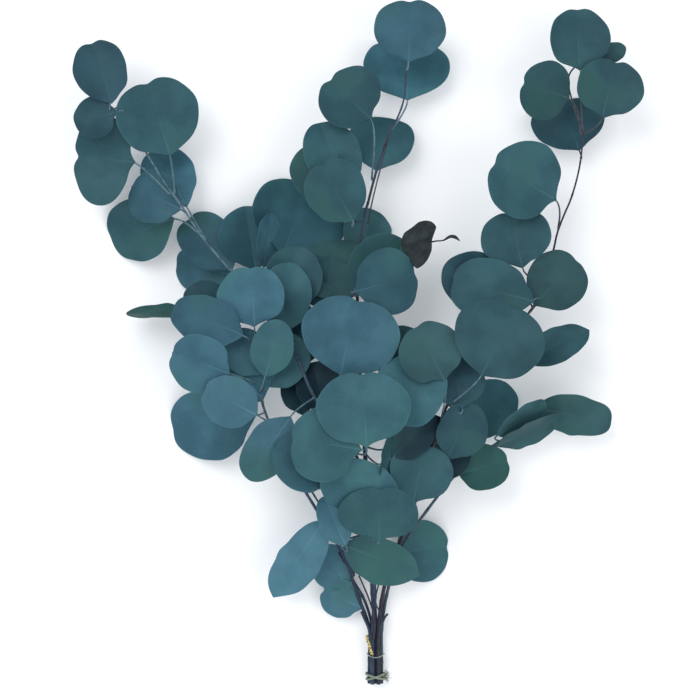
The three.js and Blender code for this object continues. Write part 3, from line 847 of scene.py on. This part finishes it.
# name: the leaf it is beside, the step to its base in mm, heading, pitch and
# roll in degrees, length and width of the blade as seen from above, notch and
# cup in mm, finish.
HALF_HIDDEN = {
    "left_02": ("left_01", (3, -8, -1), 195, -1, 8, 34, 34, 0, 2, "leaf_deep"),
    "left_11": ("left_08", (20, 0, -2), 100, -8, 6, 52, 50, 0, 4, "leaf_deep"),
    "left_12": ("left_08", (27, 1, 6), 80, 2, 56, 43, 20, 0, 3, "leaf_blue"),
    "left_13": ("left_10", (-66, -51, 1), 177, 0, 68, 62, 12, 0, 3, "leaf_green"),
    "top_08": ("top_06", (-3, -4, -6), 132, -6, -8, 52, 44, 0, 3, "leaf_teal"),
    "mid_11": ("mid_10", (-3, 2, -8), 130, -5, 6, 42, 36, 0, 3, "leaf_blue"),
    "mid_12": ("mid_10", (-3, -20, -10), 125, -6, -6, 46, 38, 0, 3, "leaf_blue"),
    "mid_13": ("mid_10", (2, -8, -9), 58, -6, 6, 46, 40, 0, 3, "leaf_teal"),
    "mid_14": ("mid_06", (-8, 18, -11), 155, -8, 6, 42, 32, 0, 2, "leaf_deep"),
    "mid_15": ("mid_05", (9, 18, -7), 90, -6, 6, 50, 46, 0, 3, "leaf_teal"),
    "mid_16": ("mid_05", (16, -28, -12), 96, -6, 4, 50, 40, 0, 3, "leaf_deep"),
    "mid_17": ("mid_05", (34, 14, -14), 84, -6, 4, 46, 44, 0, 3, "leaf_deep"),
    "front_02": ("front_01", (-10, -31, -18), 110, -5, 6, 42, 38, 0, 3, "leaf_old"),
    "front_03": ("front_01", (-30, -33, -22), 103, -8, 14, 37, 30, 0, 3, "leaf_old"),
    "front_05": ("front_04", (18, 16, -9), 58, -4, -6, 62, 56, 0, 3, "leaf_teal"),
    "front_09": ("front_10", (54, 13, -8), 77, -4, 6, 46, 51, 2, 3, "leaf_teal"),
    "front_15": ("front_04", (22, -10, -17), 45, -8, 8, 46, 30, 0, 2, "leaf_old"),
    "front_16": ("front_04", (26, -2, -24), 20, -8, -6, 44, 34, 0, 2, "leaf_old"),
    "front_17": ("front_10", (29, 30, -4), 75, 0, 50, 38, 16, 0, 3, "leaf_deep"),
    "front_18": ("front_12", (0, 2, 7), 114, 6, 10, 42, 26, 0, 2, "leaf_pale"),
    "front_19": ("front_12", (2, -35, -23), 128, 0, 4, 38, 36, 0, 2, "leaf_pale"),
    "front_20": ("front_12", (13, -53, -25), 156, 1, -4, 36, 32, 2, 2, "leaf_pale"),
    "front_21": ("front_04", (24, 46, -30), 78, -4, 6, 48, 46, 0, 3, "leaf_teal"),
    "right_04": ("right_01", (15, 12, -6), 8, 4, 30, 23, 15, 0, 1, "leaf_grey"),
    "right_08": ("right_10", (-6, 1, -10), 159, -3, 4, 68, 50, 0, 3, "leaf_deep"),
    "right_17": ("right_18", (-31, -22, 4), 34, 4, 48, 46, 22, 0, 3, "leaf_grey"),
    "right_19": ("right_18", (-31, -31, 0), 24, 2, 50, 55, 19, 0, 3, "leaf_grey"),
    "right_20": ("right_15", (-6, -17, -8), 60, -8, 6, 40, 30, 0, 2, "leaf_old"),
    "right_21": ("right_11", (15, -22, -12), 100, -8, 6, 42, 44, 0, 3, "leaf_deep"),
}

HIDDEN_STALK = 2.5 * MM


def placed_blade(beside, step, heading, pitch, roll, long, wide, notch, cup):
    """A blade of a given size beside another leaf."""
    home = blades["leaf_" + beside].home + np.array(step) * MM
    turn, lean, twist = (math.radians(v) for v in (heading, pitch, roll))
    ahead = np.array((math.cos(turn) * math.cos(lean), math.sin(turn) * math.cos(lean), math.sin(lean)))
    level = np.array((-math.sin(turn), math.cos(turn), 0))
    upright = np.cross(ahead, level)
    left = level * math.cos(twist) + upright * math.sin(twist)
    up = np.cross(ahead, left)
    long = long * MM / math.cos(lean)
    wide = wide * MM / math.cos(twist)
    turns = np.linspace(-math.pi, math.pi, 73)
    reach = 1 / np.hypot(np.cos(turns) / (long / 2), np.sin(turns) / (wide / 2))
    waves = np.linalg.lstsq(wave_row(turns), reach, rcond=None)[0]
    bend = np.array((0, 0, 0, -2 * MM / long**2, 0, 4 * cup * MM / wide**2))
    return Blade(home, ahead, left, up, long, waves, notch * MM, bend, [home, home - ahead * HIDDEN_STALK])


for name, (beside, step, *sizes, look) in HALF_HIDDEN.items():
    leaf = leaf_piece("hidden_leaf_" + name, placed_blade(beside, step, *sizes), leaf_look[look])


# ------------------------------------------------------------ the dried leaf
# One leaf has come off and dried to charcoal: it has curled up like a small
# spoon, its skin is crinkled, and its stalk still has the heel that tore off.

DRIED_TINT = ((0.012, 0.018, 0.021), (0.021, 0.031, 0.034))


def dried_material():
    nodes = Nodes("dried_skin")
    patch = nodes.ramp(nodes.noise(110, 4), 0.35, 0.68)
    colour = nodes.mix(patch, *DRIED_TINT)
    crinkle = nodes.noise(260, 4, rough=0.6)
    nodes.bump(crinkle, 0.55, 0.0012)
    return nodes.finish(colour, nodes.ramp(crinkle, 0.3, 0.7, 0.62, 0.85), 0.25)


dried_look = dried_material()


# The curled blade's rim as steps from where it meets its stalk, in mm: the
# stalk is at the right, the rolled-in top above and the drooping tip below.
# The stalk swells into its heel near the end.
DRIED_RIM = ((-27, 1), (-24, 8), (-18, 12), (-12, 17), (-6, 18), (-2, 17), (2, 13), (0, 8),
             (-2, 2), (-2, -6), (-5, -13), (-9, -18), (-14, -21), (-18, -17), (-22, -10), (-26, -4))
DRIED_STALK = ((-4, 0, 1), (1, 1.2, 1), (7, 1.8, 1.8), (12, 4.6, 2.6), (16, 4.4, 2.2), (20, 1.4, 0.4))
DRIED_STALK_RADIUS = (0.7, 0.62, 0.5, 1.15, 1.5, 0.35)
DRIED_RINGS = 16
DRIED_SPOKES = 96
DRIED_THICK = 0.45
DRIED_DOME = 4.5
DRIED_CREASE = 1.8
DRIED_ROLL = 3.4
DRIED_CRINKLE = 1.5

# The step from the CAD leaf's foot to this blade's.
DRIED_BASE = np.array((1, -2, -2)) * MM


def dried_height(x, y, reach, waves):
    """A dome that droops at its rim, with one crease along it and a crinkled skin."""
    dome = DRIED_DOME * (1 - reach**2)
    crease = DRIED_CREASE * math.exp(-(((y - 0.35 * x - 3) / 2.2) ** 2)) * (1 - reach**4)
    roll = DRIED_ROLL * max(0.0, y - 9) / 9
    crinkle = sum(math.sin(a * x + b * y + c) for a, b, c in waves) / len(waves)
    return dome - crease - roll + DRIED_CRINKLE * crinkle * (0.35 + reach)


def dried_piece(name, home):
    luck = random.Random(11)
    waves = [(luck.uniform(-0.9, 0.9), luck.uniform(-0.9, 0.9), luck.uniform(0, 6.3)) for _ in range(8)]
    rim = np.array(DRIED_RIM + DRIED_RIM[:1], float)
    run = run_along(rim)
    at = np.linspace(0, run[-1], DRIED_SPOKES, endpoint=False)
    rim = np.column_stack([np.interp(at, run, rim[:, 0]), np.interp(at, run, rim[:, 1])])
    for _ in range(3):
        rim = (np.roll(rim, 1, axis=0) + 2 * rim + np.roll(rim, -1, axis=0)) / 4
    centre = rim.mean(axis=0)
    corners, faces = [], []
    for sign in (1, -1):
        start = len(corners)
        for ring in range(DRIED_RINGS + 1):
            reach = ring / DRIED_RINGS
            for x, y in (centre + (rim - centre) * reach if ring else [centre]):
                edge = DRIED_THICK / 2 * sign * (1 - reach**8)
                height = dried_height(x, y, reach, waves) + edge
                corners.append(home + np.array((x, y, height)) * MM)
        for i in range(DRIED_SPOKES):
            n = (i + 1) % DRIED_SPOKES
            fan = (start, start + 1 + i, start + 1 + n)
            faces.append(fan if sign < 0 else fan[::-1])
            for ring in range(1, DRIED_RINGS):
                a = start + 1 + (ring - 1) * DRIED_SPOKES
                quad = (a + i, a + n, a + DRIED_SPOKES + n, a + DRIED_SPOKES + i)
                faces.append(quad[::-1] if sign < 0 else quad)
    skin = 1 + DRIED_RINGS * DRIED_SPOKES
    last = 1 + (DRIED_RINGS - 1) * DRIED_SPOKES
    for i in range(DRIED_SPOKES):
        n = (i + 1) % DRIED_SPOKES
        faces.append((last + i, last + n, skin + last + n, skin + last + i))
    route = smooth_path(home + np.array(DRIED_STALK) * MM, 0.5 * MM)
    stops = np.linspace(0, 1, len(DRIED_STALK_RADIUS))
    radii = np.interp(np.linspace(0, 1, len(route)), stops, DRIED_STALK_RADIUS) * MM
    more, tube_faces, caps = tube(route, list(radii), 10, len(corners))
    corners += more
    faces += [*tube_faces, *caps]
    return new_piece(name, corners, faces, [dried_look])


dried = read_leaf("leaf_dried")
dried_leaf = dried_piece("dried_leaf", dried.home + DRIED_BASE)
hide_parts("leaf_dried")


# ------------------------------------------------------------------ the ties
# Near the cut ends the shoots are wound with pale twisted twine, whose turns
# cross over in front and whose ends are frayed at the side. Above it goes a
# thin wire tie, with its gold foil worn off where it is drawn tight; its two
# ends are twisted together into a short gold tail.

# The twine: two strands, wound once with its turns leaning one way along the
# bundle and once leaning the other way over them.
TWINE_RADIUS = 0.95 * MM
TWINE_TURNS = 1.6
TWINE_LEAN = 2.3 * MM
TWINE_OVER = 1.3 * MM
TWINE_STAND = 2.45 * MM
STRAND_TWIST = 2 * math.pi / (4.2 * MM)
STRAND_APART = 0.5 * TWINE_RADIUS
STRAND_RADIUS = 0.55 * TWINE_RADIUS
WOUND_STEPS = 72
FRAYS = 60
FRAY_RADIUS = 0.11 * MM

# The wire: a loop that sags in front, and the foil tail at its twisted ends.
FOIL_STAND = 2.3 * MM
LOOP_RADIUS = 0.36 * MM
LOOP_TURNS = 1.1
LOOP_SAG = 2.2 * MM
FOIL_RADIUS = 0.62 * MM
FOIL_APART = 0.72 * MM
FOIL_TWIST = 2 * math.pi / (4.4 * MM)

# The foil tail's line, as steps in mm from the middle of the bundle.
FOIL_TAIL = ((-2.6, 0.2, 6.4), (-4.2, 4.2, 7.2), (-5.0, 8, 7.6), (-6.6, 12, 8.2), (-7.4, 16.4, 8.0))


def fibre_material():
    nodes = Nodes("twine_fibre")
    fibres = nodes.noise(1500, 3)
    colour = nodes.mix(nodes.ramp(fibres, 0.35, 0.65), (0.13, 0.17, 0.13), (0.34, 0.38, 0.29))
    nodes.bump(fibres, 0.6, 0.0004)
    return nodes.finish(colour, 0.9, 0.15)


def foil_material():
    nodes = Nodes("gold_foil")
    foil_crinkles_and_glints = nodes.noise(760, 3)
    # the colour runs from dark olive to pale gold over the crinkles: painted glints and painted shade of
    # the crinkled foil
    colour = nodes.mix(nodes.ramp(foil_crinkles_and_glints, 0.38, 0.60), (0.20, 0.17, 0.05), (0.92, 0.76, 0.34))
    nodes.shader.inputs["Metallic"].default_value = 0.8
    nodes.bump(foil_crinkles_and_glints, 0.5, 0.0004)
    return nodes.finish(colour, nodes.ramp(foil_crinkles_and_glints, 0.3, 0.7, 0.28, 0.45), 0.5)


def worn_material():
    nodes = Nodes("worn_wire")
    worn = nodes.noise(620, 3)
    colour = nodes.mix(nodes.ramp(worn, 0.40, 0.62), (0.20, 0.27, 0.25), (0.42, 0.46, 0.34))
    return nodes.finish(colour, 0.55, 0.4)


def bundle_at(y):
    """The middle of the shoots at one place along the bundle, and their outer radius."""
    spots = []
    for lines in stem_lines.values():
        line = lines[0]
        spots.append(line[np.abs(line[:, 1] - y).argmin()])
    spots = np.array(spots)
    centre = (spots.min(axis=0) + spots.max(axis=0)) / 2
    return centre, float(np.linalg.norm((spots - centre)[:, [0, 2]], axis=1).max())


def wound(y, turns, start, reach, shift):
    """A turn or more round the bundle: how far out and how far along it is at each angle."""
    centre, _ = bundle_at(y)
    points = []
    for i in range(int(turns * WOUND_STEPS) + 1):
        turn = 2 * math.pi * i / WOUND_STEPS + start
        x = centre[0] + reach(turn) * math.cos(turn)
        z = centre[2] + reach(turn) * math.sin(turn)
        points.append((x, y + shift(turn), z))
    return np.array(points)


def twisted(path, radius, count, twist):
    """Strands that wind round each other along a path."""
    ahead = np.gradient(path, axis=0)
    ahead /= np.linalg.norm(ahead, axis=1)[:, None]
    side = np.cross(ahead[0], (0.31, 0.9, 0.2))
    run = run_along(path)
    strands = [[] for _ in range(count)]
    for i, spot in enumerate(path):
        side = side - ahead[i] * side.dot(ahead[i])
        side /= np.linalg.norm(side)
        up = np.cross(ahead[i], side)
        for k in range(count):
            turn = run[i] * twist + 2 * math.pi * k / count
            strands[k].append(spot + radius * (math.cos(turn) * side + math.sin(turn) * up))
    return [np.array(s) for s in strands]


def strands_piece(name, bundles, look, sides=8):
    """Strands as one piece, from (strands, radius) pairs."""
    corners, faces = [], []
    for strands, radius in bundles:
        for strand in strands:
            more, tube_faces, caps = tube(strand, [radius] * len(strand), sides, len(corners))
            corners += more
            faces += [*tube_faces, *caps]
    return new_piece(name, corners, faces, [look])


def frayed_end(knot, count):
    """Loose fibres that fan out sideways from the knot, each with its own curl."""
    luck = random.Random("frayed end")
    fibres = []
    for _ in range(count):
        lift = luck.uniform(-1.35, 1.4)
        away = np.array((math.cos(lift), math.sin(lift), luck.uniform(-0.5, 0.7)))
        long = luck.uniform(2.8, 5.8) * MM
        curl = np.array((luck.uniform(-1, 1), luck.uniform(-1, 1), luck.uniform(-1, 1))) * 0.9 * MM
        base = knot + np.array((luck.uniform(-1, 0), luck.uniform(-2, 2), luck.uniform(-1.5, 1.5))) * MM
        points = [base, base + away * 0.5 * long + curl, base + away * long - 0.6 * curl]
        fibres.append(smooth_path(np.array(points), 0.5 * MM))
    return fibres


twine_low, twine_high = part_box("tie_twine")
twine_y = (twine_low.y + twine_high.y) / 2
bundle, ring = bundle_at(twine_y)
ring += TWINE_STAND
one_way = wound(
    twine_y, TWINE_TURNS, -2.2,
    lambda turn: ring,
    lambda turn: TWINE_LEAN * math.cos(turn),
)
other_way = wound(
    twine_y, TWINE_TURNS, -0.6,
    lambda turn: ring + TWINE_OVER * max(0.0, math.sin(turn)) ** 0.5,
    lambda turn: -TWINE_LEAN * math.cos(turn) + 0.2 * MM,
)
knot = bundle + np.array((ring + 0.3 * MM, 0, 1.5 * MM))
twine = strands_piece("twine", [
    (twisted(one_way, STRAND_APART, 2, STRAND_TWIST), STRAND_RADIUS),
    (twisted(other_way, STRAND_APART, 2, STRAND_TWIST), STRAND_RADIUS),
    (frayed_end(knot, FRAYS), FRAY_RADIUS),
], fibre_material())
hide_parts("tie_twine")

wire_low, wire_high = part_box("tie_wire")
wire_y = (wire_low.y + wire_high.y) / 2
bundle, ring = bundle_at(wire_y)
ring += FOIL_STAND
loop = wound(
    wire_y, LOOP_TURNS, 2.0,
    lambda turn: ring + 0.1 * MM * math.sin(6 * turn),
    lambda turn: -LOOP_SAG * max(0.0, math.sin(turn)) ** 2 + 0.5 * MM,
)
wire = strands_piece("tie_loop", [([loop], LOOP_RADIUS)], worn_material())
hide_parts("tie_wire")
tail_line = smooth_path(bundle + np.array(FOIL_TAIL) * MM, 0.5 * MM)
tail_strands = twisted(tail_line, FOIL_APART, 2, FOIL_TWIST)
tail = strands_piece("foil_tail", [(tail_strands, FOIL_RADIUS)], foil_material())


# ------------------------------------------------------ the floor and light
# A plain pale table top, a large soft lamp above to the left and two weaker
# ones, as for a catalogue picture.

low, high = cad_box
middle = (low + high) / 2
FLOOR_SIZE = 30.0
TABLE_DARK = (0.86, 0.87, 0.88)
TABLE_LIGHT = (0.88, 0.885, 0.89)
TABLE_GLOW = (0.95, 0.97, 1.0, 1)
SKY = (0.93, 0.96, 1.0, 1)


def floor_material():
    nodes = Nodes("table_top")
    nodes.shader.inputs["Emission Color"].default_value = TABLE_GLOW
    nodes.shader.inputs["Emission Strength"].default_value = 0.13
    colour = nodes.mix(nodes.ramp(nodes.noise(3, 2), 0.3, 0.7), TABLE_DARK, TABLE_LIGHT)
    return nodes.finish(colour, 0.8, 0.2)


half = FLOOR_SIZE / 2
mesh = bpy.data.meshes.new("table")
square = [(-half, -half, 0), (half, -half, 0), (half, half, 0), (-half, half, 0)]
mesh.from_pydata(square, [], [(0, 1, 2, 3)])
mesh.materials.append(floor_material())
table = bpy.data.objects.new("table", mesh)
bpy.context.scene.collection.objects.link(table)


def lamp(name, place, size, power):
    data = bpy.data.lights.new(name, "AREA")
    data.shape = "DISK"
    data.size = size
    data.energy = power
    made = bpy.data.objects.new(name, data)
    made.location = place
    aim = middle - made.location
    made.rotation_euler = aim.to_track_quat("-Z", "Y").to_euler()
    bpy.context.scene.collection.objects.link(made)


lamp("key", (-0.8, 0.9, 2.0), 1.4, 17)
lamp("fill", (1.3, -0.5, 1.8), 1.6, 9)
lamp("low_fill", (-0.3, -1.8, 1.1), 1.4, 6)

world = bpy.data.worlds.new("studio")
world.use_nodes = True
world.node_tree.nodes["Background"].inputs[0].default_value = SKY
world.node_tree.nodes["Background"].inputs[1].default_value = 0.86
bpy.context.scene.world = world
bpy.context.scene.view_settings.view_transform = "Standard"


# --------------------------------------------------------------- the camera
# Straight above the bunch, looking down, with a long lens.

LENS = 99.6
SENSOR = 36
CAMERA_UP = 1.6
AIM = (-0.0053, -0.0028)

data = bpy.data.cameras.new("camera")
data.lens = LENS
data.sensor_width = SENSOR
data.clip_end = 20
camera = bpy.data.objects.new("camera", data)
camera.location = (AIM[0], AIM[1], CAMERA_UP)
bpy.context.scene.collection.objects.link(camera)
bpy.context.scene.camera = camera
